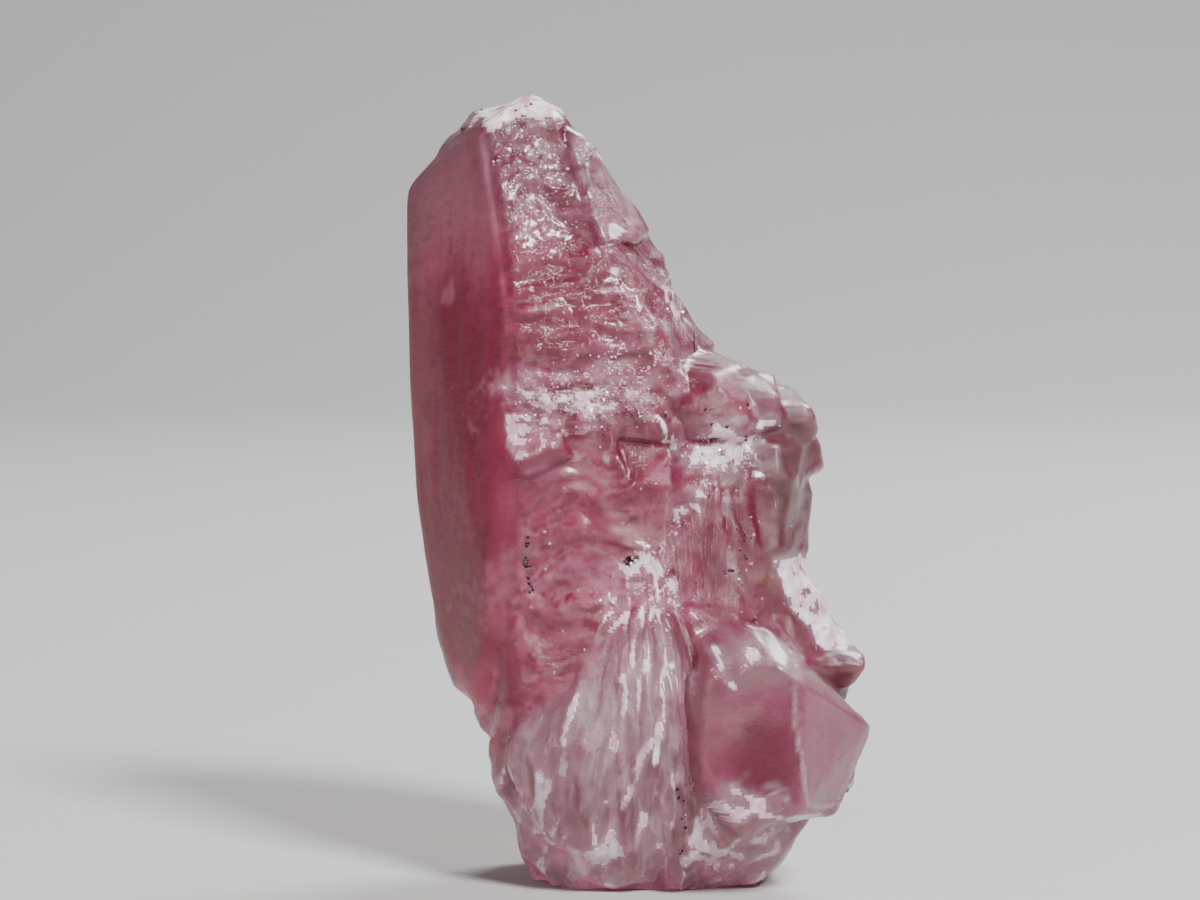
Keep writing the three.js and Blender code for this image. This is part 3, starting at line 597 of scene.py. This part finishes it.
# Painted glints: a chain of small near-white dots at the top left.
paint(CHALK, dot(1.25, 3.55, 0.1, 0.08, 30), 0.9)
paint(CHALK, dot(1.3, 3.34, 0.08, 0.16, 30), 0.9)
paint(CHALK, dot(1.46, 3.03, 0.07, 0.18, 35), 0.8)
paint(CHALK, dot(2.3, 3.5, 0.3, 0.04, -25), 0.7)
right_face = facet((2.32, 3.38), (3.65, 2.5), (3.1, 1.1), (2.45, 1.25), (2.47, 2.4))
paint(PALE_ROSE, flat(right_face), 0.5)
paint(ROSE, flat(right_face) * ramp(cloud(skin, 0.6, 88), 0.0, 0.7), 0.5)
paint(WHITE, rim(right_face, 0.05), 0.5)
# A painted glint, warm-toned, at the low corner of the right face.
paint(BEIGE, dot(2.9, 1.33, 0.2, 0.1), 0.8)

# The foot: a milky lump under the small crystal, a yellowish seam, reddish lenses and white patches.
paint(PALE_ROSE, spot(1.6, 0.65, 0.85, 0.6), 0.7)
paint(CHALK, spot(1.6, 0.75, 0.8, 0.6) * ramp(fine_mottle, 0.2, 0.6), 0.75)
paint(BEIGE, spot(1.6, 0.65, 0.7, 0.5), 0.35)
# A painted reflection: a thin pale line at the lower end of the small crystal's window.
paint(CHALK, dot(2.0, 1.27, 0.35, 0.04, 25), 0.5)
paint(BROWN, spot(0.72, 1.0, 0.09, 0.5), 0.6)
paint(RUST, spot(0.8, 0.75, 0.06, 0.45), 0.6)
paint(LILAC, spot(-0.45, 2.2, 0.25, 0.8, 8, 0.25), 0.8)
paint(SMOKE, spot(-0.95, 1.2, 0.35, 0.3, 40), 0.6)
paint(DEEP_RED, spot(-0.85, 2.0, 0.13, 0.18), 0.45)
paint(CHALK, dot(0.35, 1.95, 0.06, 0.2, -8), 0.9)
paint(CHALK, dot(-1.45, 1.57, 0.08, 0.07), 0.9)
paint(CHALK, spot(-0.55, 0.35, 0.4, 0.22, 20), 0.7)

# Stains and dark grains, as the real one has them.
paint(BROWN, dot(-1.68, 5.1, 0.05, 0.28, 4), 0.8)
paint(BLACK, dot(-1.62, 4.75, 0.045, 0.3, 6) * ramp(fine_mottle, 0.3, 0.5), 0.9)
paint(CHALK, dot(-0.05, 4.75, 0.3, 0.14), 0.6)
paint(BLACK, dot(-0.05, 4.87, 0.12, 0.07, 15), 1.0)
paint(BROWN, dot(-0.03, 5.52, 0.07, 0.07), 0.9)

# The white parts are not even: fine grey and pink grain runs through them.
whitish = ramp(tint[..., 1], 0.35, 0.6)
paint(MAUVE, whitish * (1 - foot) * ramp(cloud(skin, (0.11, 0.11, 0.09), 83), 0.0, 0.5), 0.55)
paint(LILAC, whitish * ramp(cloud(skin, (0.3, 0.3, 0.2), 84), -0.2, 0.5), 0.6)

# Small breaks each have their own tone, with painted glints as pale lines along the borders of some of them.
cracked = broken * (1 - 0.8 * shoulder) * (1 - whitish)
paint(PALE_ROSE, cracked * ramp(small_shard, 0.25, 0.5), 0.15)
paint(DEEP_RED, cracked * ramp(-small_shard, 0.0, 0.3), 0.7)
paint(PALE_ROSE, cracked * border_glints * (1 - 0.7 * flat(pit, 0.1)), 0.4)

# Crests are painted paler, as painted highlight, and the dips between them deeper, as painted shade.
paint(PALE_ROSE, ramp(crest, 0.008, 0.035) * broken, 0.3)
paint(WHITE, ramp(crest, 0.008, 0.035) * foot, 0.35)
paint(DEEP_RED, ramp(-crest, 0.006, 0.03) * broken, 0.55)
paint(SMOKE, ramp(-crest, 0.006, 0.03) * foot, 0.6)

# A milky substance lies in the palest parts, with grain in it. Towards its edges it takes the colour that
# the clear crystal shows through a white skin, so that one passes softly into the other.
MILKY_FROM = 0.3
upright_grit = np.maximum(foot, near(0.8, 5.6, 0.8, 1.6))
grit = 0.65 * cloud(swirl, (0.14, 0.14, 0.1), 91) + 0.5 * cloud(skin, 0.06, 93)
grit = grit * (1 - upright_grit) + cloud(fan, (0.05, 0.1, 0.35), 92) * upright_grit
milky = ramp(tint[..., 1], 0.25, 0.62) + 0.4 * flat(pale_face) - 0.55 * ramp(grit, -0.6, 0.6)
paint(WHITE, ramp(milky, 0.0, MILKY_FROM) * (milky < MILKY_FROM), 0.9)
paint(HAZE, (1 - ramp(milky, MILKY_FROM, 0.8)) * (milky >= MILKY_FROM), 1.0)

# How the fine pattern lies: loose white specks, upright white fibres, and level ripples.
specks = np.clip(
    0.12 * broken * (1 - shoulder) + 0.8 * spot(-0.9, 7.4, 1.2, 0.4, -4) + 0.2 * spot(-1.4, 10.6, 0.9, 1.1)
    + 0.8 * spot(1.25, 6.6, 0.6, 0.4) + 0.6 * spot(0.3, 8.6, 0.5, 1.0, 24) + 0.4 * spot(-1.0, 4.4, 1.0, 1.0),
    0, 1,
)
fibres = np.clip(foot * 0.8 + 0.8 * spot(0.7, 5.2, 0.5, 1.0, -15) + 0.5 * spot(1.3, 5.0, 0.5, 1.2), 0, 1)
ripples = np.clip(0.15 * spot(-0.9, 8.7, 1.0, 1.1) + 0.05 * broken, 0, 1)


def vertex_field(values, ring_count):
    """A grid's values carried to every vertex of the closed skin: the flat base takes those of the first
    row."""
    rings = np.repeat(values[:1], ring_count, axis=0)
    rows = np.concatenate([rings, values]).reshape(-1, values.shape[-1])
    return np.concatenate([rows, values[:1].mean(axis=1), values[-1:].mean(axis=1)])


def store(obj, name, values):
    """Keeps one value at each vertex as a named number, or three as a named colour."""
    if values.shape[-1] == 1:
        obj.data.attributes.new(name, "FLOAT", "POINT").data.foreach_set("value", values.ravel())
        return
    layer = obj.data.attributes.new(name, "FLOAT_COLOR", "POINT")
    full = np.ones((len(values), 4), dtype=np.float32)
    full[:, :3] = values
    layer.data.foreach_set("color", full.ravel())


store(crystal, "tint", vertex_field(tint, ring_count))
store(crystal, "pattern", vertex_field(np.stack([specks, fibres, ripples], axis=-1), ring_count))
store(crystal, "fibre_way", vertex_field(fan, ring_count))

# How rough the skin is from place to place, and how strongly a thin clear coat makes it glint.
upper_step = near(1.4, 7.3, 0.9, 0.6)
dull_ridge = dot(0.42, 6.18, 0.3, 0.25)
finish = 0.2 * dull_ridge
finish += 0.14 - 0.06 * small_crystal + 0.14 * foot + 0.26 * left_face + 0.1 * upper_step
store(crystal, "finish", vertex_field(finish[..., None], ring_count))
gloss = 0.4 * (1 - left_face) * (1 - 0.5 * foot) * (1 - 0.6 * upper_step) + 0.3 * small_crystal
gloss *= (1 - 0.9 * flat(clear_window, 0.2)) * (1 - dull_ridge)
store(crystal, "gloss", vertex_field(gloss[..., None], ring_count))


def new_material(name):
    """An empty node material with its output."""
    material = bpy.data.materials.new(name)
    material.use_nodes = True
    material.node_tree.nodes.clear()
    output = material.node_tree.nodes.new("ShaderNodeOutputMaterial")
    return material, material.node_tree, output


def wire(tree, source, target):
    """Joins an output to an input."""
    tree.links.new(source, target)


def add(tree, kind, **settings):
    """A node of the given kind, with its properties set."""
    node = tree.nodes.new(kind)
    for key, value in settings.items():
        setattr(node, key, value)
    return node


def streaks(tree, coordinates, scale, stretch, detail=3.0, roughness=0.6):
    """Noise with its own scale per mm and stretch along x, y, z."""
    mapping = add(tree, "ShaderNodeMapping")
    mapping.inputs["Scale"].default_value = [scale * s / MM for s in stretch]
    wire(tree, coordinates, mapping.inputs["Vector"])
    noise = add(tree, "ShaderNodeTexNoise")
    noise.inputs["Scale"].default_value = 1.0
    noise.inputs["Detail"].default_value = detail
    noise.inputs["Roughness"].default_value = roughness
    wire(tree, mapping.outputs["Vector"], noise.inputs["Vector"])
    return noise.outputs["Fac"]


def math_node(tree, operation, a, b):
    """One sum of two values, each a number or another node's output."""
    node = add(tree, "ShaderNodeMath", operation=operation)
    for socket, value in zip(node.inputs, (a, b)):
        if isinstance(value, (int, float)):
            socket.default_value = value
        else:
            wire(tree, value, socket)
    return node.outputs[0]


def above(tree, value, low, high):
    """0 below low and 1 above high."""
    node = add(tree, "ShaderNodeMapRange")
    node.inputs["From Min"].default_value = low
    node.inputs["From Max"].default_value = high
    wire(tree, value, node.inputs["Value"])
    return node.outputs["Result"]


def broken_surface_group():
    """Shader group: from a place on the crystal and how speckled, fibrous and rippled it is there, it
    gives the mask of white flecks and the height of the fine relief."""
    group = bpy.data.node_groups.new("broken_surface", "ShaderNodeTree")
    for name in ("Place", "Fibre Way"):
        group.interface.new_socket(name, in_out="INPUT", socket_type="NodeSocketVector")
    group.interface.new_socket("Pattern", in_out="INPUT", socket_type="NodeSocketColor")
    for name in ("Flecks", "Height"):
        group.interface.new_socket(name, in_out="OUTPUT", socket_type="NodeSocketFloat")
    given = add(group, "NodeGroupInput")
    result = add(group, "NodeGroupOutput")
    split = add(group, "ShaderNodeSeparateColor")
    wire(group, given.outputs["Pattern"], split.inputs["Color"])
    place = given.outputs["Place"]
    grains = streaks(group, place, 5.0, (1, 1, 1.3), detail=6.0, roughness=0.75)
    upright = streaks(group, given.outputs["Fibre Way"], 16.0 * MM, (1, 0.5, 0.1))
    level = streaks(group, place, 7.0, (0.35, 0.35, 1.3))
    masks = [
        math_node(group, "MULTIPLY", above(group, grains, 0.46, 0.68), split.outputs["Red"]),
        math_node(group, "MULTIPLY", above(group, upright, 0.5, 0.7), split.outputs["Green"]),
        math_node(group, "MULTIPLY", above(group, level, 0.52, 0.7), split.outputs["Blue"]),
    ]
    most = math_node(group, "MAXIMUM", masks[0], math_node(group, "MAXIMUM", masks[1], masks[2]))
    wire(group, most, result.inputs["Flecks"])
    heights = [
        math_node(group, "MULTIPLY", grains, 0.8),
        math_node(group, "MULTIPLY", upright, split.outputs["Green"]),
        math_node(group, "MULTIPLY", level, split.outputs["Blue"]),
    ]
    total = math_node(group, "ADD", heights[0], math_node(group, "ADD", heights[1], heights[2]))
    wire(group, total, result.inputs["Height"])
    return group


broken_surface = broken_surface_group()
PEZZOTTAITE_IOR = 1.6


def crystal_material(name, transmission, absorbed=None, density=0):
    """The crystal's own substance: tinted by the skin's colours, flecked with white where it is broken.
    A milky part that no light passes through has no inside to colour it."""
    material, tree, output = new_material(name)
    coordinates = add(tree, "ShaderNodeTexCoord")
    tint_layer = add(tree, "ShaderNodeAttribute", attribute_name="tint")
    pattern_layer = add(tree, "ShaderNodeAttribute", attribute_name="pattern")
    surface = add(tree, "ShaderNodeGroup", node_tree=broken_surface)
    wire(tree, coordinates.outputs["Object"], surface.inputs["Place"])
    wire(tree, pattern_layer.outputs["Color"], surface.inputs["Pattern"])
    fibre_layer = add(tree, "ShaderNodeAttribute", attribute_name="fibre_way")
    wire(tree, fibre_layer.outputs["Color"], surface.inputs["Fibre Way"])
    mixed = add(tree, "ShaderNodeMix", data_type="RGBA")
    wire(tree, math_node(tree, "MULTIPLY", surface.outputs["Flecks"], 0.65), mixed.inputs[0])
    wire(tree, tint_layer.outputs["Color"], mixed.inputs[6])
    mixed.inputs[7].default_value = (*WHITE, 1)
    shader = add(tree, "ShaderNodeBsdfPrincipled")
    wire(tree, mixed.outputs[2], shader.inputs["Base Color"])
    finish_layer = add(tree, "ShaderNodeAttribute", attribute_name="finish")
    dulled = math_node(tree, "MULTIPLY", surface.outputs["Flecks"], 0.25)
    rough = math_node(tree, "ADD", finish_layer.outputs["Fac"], dulled)
    wire(tree, rough, shader.inputs["Roughness"])
    shader.inputs["IOR"].default_value = PEZZOTTAITE_IOR
    shader.inputs["Transmission Weight"].default_value = transmission
    shader.inputs["Specular IOR Level"].default_value = 0.25
    shader.inputs["Subsurface Weight"].default_value = 0.2
    shader.inputs["Subsurface Radius"].default_value = (1.0, 0.35, 0.4)
    shader.inputs["Subsurface Scale"].default_value = 1.0 * MM
    gloss_layer = add(tree, "ShaderNodeAttribute", attribute_name="gloss")
    wire(tree, gloss_layer.outputs["Fac"], shader.inputs["Coat Weight"])
    shader.inputs["Coat Roughness"].default_value = 0.12
    bump = add(tree, "ShaderNodeBump")
    bump.inputs["Strength"].default_value = 1.0
    bump.inputs["Distance"].default_value = 0.035 * MM
    wire(tree, surface.outputs["Height"], bump.inputs["Height"])
    wire(tree, bump.outputs["Normal"], shader.inputs["Normal"])
    wire(tree, shader.outputs["BSDF"], output.inputs["Surface"])
    if absorbed is None:
        return material
    volume = add(tree, "ShaderNodeVolumeAbsorption")
    volume.inputs["Color"].default_value = (*absorbed, 1)
    volume.inputs["Density"].default_value = density
    wire(tree, volume.outputs["Volume"], output.inputs["Volume"])
    return material


clear_look = crystal_material("pezzottaite", transmission=0.75, absorbed=(0.92, 0.25, 0.52), density=400)
crystal.data.materials.append(clear_look)
crystal.data.materials.append(crystal_material("milky_pezzottaite", transmission=0.0))
milky_vertices = vertex_field(milky[..., None], ring_count)[:, 0]
milky_faces = (milky_vertices[quads].mean(axis=1) > MILKY_FROM).astype(np.int32)
clear_ends = np.zeros(len(fans), dtype=np.int32)
crystal.data.polygons.foreach_set("material_index", np.concatenate([milky_faces, clear_ends]))
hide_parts("pezzottaite_crystal")
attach(crystal, "root")

# Loose flakes on the broken parts: thin glassy plates of five corners, thickest in the white band, on the
# silvery patch, along the seam and at the top. Each lies on a point of the skin, tipped its own way.
def plates(places, ways, size, thickness, tip, seed):
    """Thin five-sided plates: corner k of a plate lies at size * (cos, 1.6 sin) of 72 k degrees, with its
    own share of the radius, in a plane whose way up is the skin's with a random vector times tip added."""
    luck = np.random.default_rng(seed)
    count = len(places)
    up = ways + tip * luck.normal(size=(count, 3))
    up /= np.linalg.norm(up, axis=1, keepdims=True)
    across = np.cross(up, luck.normal(size=(count, 3)))
    across /= np.linalg.norm(across, axis=1, keepdims=True)
    along = np.cross(up, across)
    turn = np.arange(5) * 2 * np.pi / 5
    radius = size * luck.uniform(0.4, 1.3, (count, 1)) * luck.uniform(0.6, 1.0, (count, 5))
    edge = (radius * np.cos(turn))[..., None] * across[:, None]
    edge = edge + 1.6 * (radius * np.sin(turn))[..., None] * along[:, None]
    half = 0.5 * thickness * up[:, None]
    corners = places[:, None] + np.concatenate([edge - half, edge + half], axis=1)
    first = np.arange(count)[:, None] * 10
    k = np.arange(5)
    sides = np.stack([k, (k + 1) % 5, (k + 1) % 5 + 5, k + 5], axis=-1)
    return corners.reshape(-1, 3), first + k[::-1], first + k + 5, (first[..., None] + sides).reshape(-1, 4)


def scattered(weights, count, seed):
    """Points of the skin picked by chance in proportion to their weights, and their ways up."""
    picked = np.random.default_rng(seed).choice(weights.size, count, p=weights.ravel() / weights.sum())
    return skin.reshape(-1, 3)[picked], outward.reshape(-1, 3)[picked]


def plain_material(name, colour, roughness, transmission):
    """A one-coloured glassy or stony substance, which bends light as the crystal does."""
    material, tree, output = new_material(name)
    shader = add(tree, "ShaderNodeBsdfPrincipled")
    shader.inputs["Base Color"].default_value = (*colour, 1)
    shader.inputs["Roughness"].default_value = roughness
    shader.inputs["IOR"].default_value = PEZZOTTAITE_IOR
    shader.inputs["Transmission Weight"].default_value = transmission
    wire(tree, shader.outputs["BSDF"], output.inputs["Surface"])
    return material


flake_weights = spot(-0.9, 7.4, 1.1, 0.35, -4) + 0.7 * spot(0.1, 7.9, 0.6, 0.35)
flake_weights += 1.5 * spot(1.25, 6.6, 0.5, 0.3) + 0.9 * spot(0.9, 5.9, 0.12, 0.4, -20)
flake_weights += 0.9 * spot(0.6, 5.2, 0.15, 0.5, -30) + 0.5 * spot(0.3, 4.3, 0.3, 0.6)
flake_weights += 0.05 * granular + 0.3 * spot(0.5, 8.9, 0.2, 0.7, 26) + 0.04 * rippled + 0.015 * broken
flake_weights *= 1 - smooth
flake_spots = scattered(flake_weights, count=1100, seed=5)
flake_plates = plates(*flake_spots, size=0.022, thickness=0.008, tip=0.7, seed=6)
white_flakes = mesh_object("white_flakes", *flake_plates)
flake_look = plain_material("flake", srgb(242, 210, 222), roughness=0.1, transmission=0.3)
white_flakes.data.materials.append(flake_look)
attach(white_flakes, "root")

# Dark mineral grains in the stain, round the black grain and on the steps: plates like the flakes, but
# thicker. With them goes one short dark fibre of lint that has caught on the flank.
grain_weights = 3.0 * dot(-1.62, 4.85, 0.06, 0.5, 6) + 6.0 * dot(-0.05, 4.87, 0.12, 0.07, 15)
grain_weights += 0.3 * spot(1.3, 7.1, 0.6, 0.3) + 0.5 * spot(1.6, 5.0, 0.15, 0.6, 10)
grain_weights += 0.3 * spot(0.75, 0.8, 0.1, 0.5) + 0.004 * broken
grain_spots = scattered(grain_weights, count=110, seed=8)
grain_plates = plates(*grain_spots, size=0.022, thickness=0.03, tip=0.6, seed=9)
dark_grains = mesh_object("dark_grains", *grain_plates)
dark_grains.data.materials.append(plain_material("dark_grain", BLACK, roughness=0.3, transmission=0.0))
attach(dark_grains, "root")

LINT_THICKNESS = 0.02


def lint_surface():
    """A thin tube along a bent line: ring v stands where the skin is seen from the front at each height,
    and u goes round the ring."""
    v = np.linspace(0, 1, 12)
    line_x = 0.9 - 0.05 * v + 0.06 * v * v
    line_z = 8.42 - 0.3 * v
    hidden = 9 * (front < 0.5)[..., None]  # puts the far side out of reach
    away = np.hypot(seen_x[:, :, None] - line_x, seen_z[:, :, None] - line_z) + hidden
    nearest = away.reshape(-1, len(v)).argmin(axis=0)
    centre = skin.reshape(-1, 3)[nearest]
    line = np.stack([line_x, np.full(len(v), centre[:, 1].min() - 0.02), line_z], axis=-1)
    u = np.arange(8) * np.pi / 4
    ring = 0.5 * LINT_THICKNESS * np.stack([np.cos(u), np.sin(u), 0 * u], axis=-1)
    points = np.concatenate([(line[:, None] + ring).reshape(-1, 3), line[:1], line[-1:]])
    row, column = np.meshgrid(np.arange(len(v) - 1), np.arange(8), indexing="ij")
    here = row * 8 + column
    beside = row * 8 + (column + 1) % 8
    sides = np.stack([here, here + 8, beside + 8, beside], axis=-1).reshape(-1, 4)
    edge = np.arange(8)
    last = (len(v) - 1) * 8
    top = np.stack([np.full(8, len(v) * 8), edge, (edge + 1) % 8], axis=-1)
    bottom = np.stack([np.full(8, len(v) * 8 + 1), last + (edge + 1) % 8, last + edge], axis=-1)
    return points, sides, top, bottom


lint = mesh_object("lint_fibre", *lint_surface())
lint.data.shade_smooth()
lint.data.materials.append(plain_material("lint", BLACK, roughness=0.6, transmission=0.0))
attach(lint, "root")

# The table it is shown on: a sweep of pale paper, level under the crystal and bent up into a wall behind
# it. Three square soft panels light it, with a little light from all round.
SWEEP_WIDTH = 0.5
SWEEP_FRONT = -0.25
SWEEP_BACK = 0.12
SWEEP_HEIGHT = 0.35
SWEEP_BEND = 0.08


def sweep_surface():
    """A floor that bends up into a wall: level, then a quarter circle, then upright."""
    bend = np.linspace(0, np.pi / 2, 24)
    y = np.concatenate([[SWEEP_FRONT], SWEEP_BACK + SWEEP_BEND * np.sin(bend), [SWEEP_BACK + SWEEP_BEND]])
    z = np.concatenate([[0], SWEEP_BEND * (1 - np.cos(bend)), [SWEEP_HEIGHT]])
    x = np.array([-SWEEP_WIDTH / 2, SWEEP_WIDTH / 2])
    points = np.stack(np.broadcast_arrays(x[None, :], y[:, None], z[:, None]), axis=-1).reshape(-1, 3)
    row = np.arange(len(y) - 1)
    return points / MM, np.stack([row * 2, row * 2 + 1, row * 2 + 3, row * 2 + 2], axis=-1)


sweep = mesh_object("pale_sweep", *sweep_surface())
sweep.data.shade_smooth()
paper, paper_tree, paper_output = new_material("pale_paper")
paper_shader = add(paper_tree, "ShaderNodeBsdfPrincipled")
paper_shader.inputs["Base Color"].default_value = (0.5, 0.49, 0.48, 1)
paper_shader.inputs["Roughness"].default_value = 0.9
wire(paper_tree, paper_shader.outputs["BSDF"], paper_output.inputs["Surface"])
sweep.data.materials.append(paper)


def panel(name, place, size, watts):
    """A square soft light that faces the middle of the crystal."""
    data = bpy.data.lights.new(name, "AREA")
    data.size = size
    data.energy = watts
    lamp = bpy.data.objects.new(name, data)
    lamp.location = place
    lamp.rotation_euler = (Vector((0, 0, 0.006)) - lamp.location).to_track_quat("-Z", "Y").to_euler()
    bpy.context.scene.collection.objects.link(lamp)


panel("key_panel", (0.075, -0.115, 0.125), size=0.04, watts=0.62)
panel("fill_panel", (-0.12, -0.15, 0.08), size=0.1, watts=0.09)
panel("back_panel", (0.06, 0.09, 0.12), size=0.06, watts=0.3)
world = bpy.data.worlds.new("studio")
bpy.context.scene.world = world
world.use_nodes = True
world.node_tree.nodes["Background"].inputs["Color"].default_value = (0.9, 0.92, 1.0, 1)
world.node_tree.nodes["Background"].inputs["Strength"].default_value = 0.12

# The camera stands where the photograph was taken from: in front, 62 mm away and a little above.
SENSOR_WIDTH = 36
FOCAL_LENGTH = 121.3  # the picture then covers 18.4 mm at the crystal
camera_data = bpy.data.cameras.new("photo_view")
camera_data.sensor_width = SENSOR_WIDTH
camera_data.lens = FOCAL_LENGTH
camera_data.clip_start = 0.001
camera = bpy.data.objects.new("photo_view", camera_data)
aim = Vector(AIM * MM)
back_off = Vector((0, -math.cos(ELEVATION), math.sin(ELEVATION))) * VIEW_DISTANCE * MM
camera.location = aim + back_off
camera.rotation_euler = (-back_off).to_track_quat("-Z", "Y").to_euler()
bpy.context.scene.collection.objects.link(camera)
bpy.context.scene.camera = camera
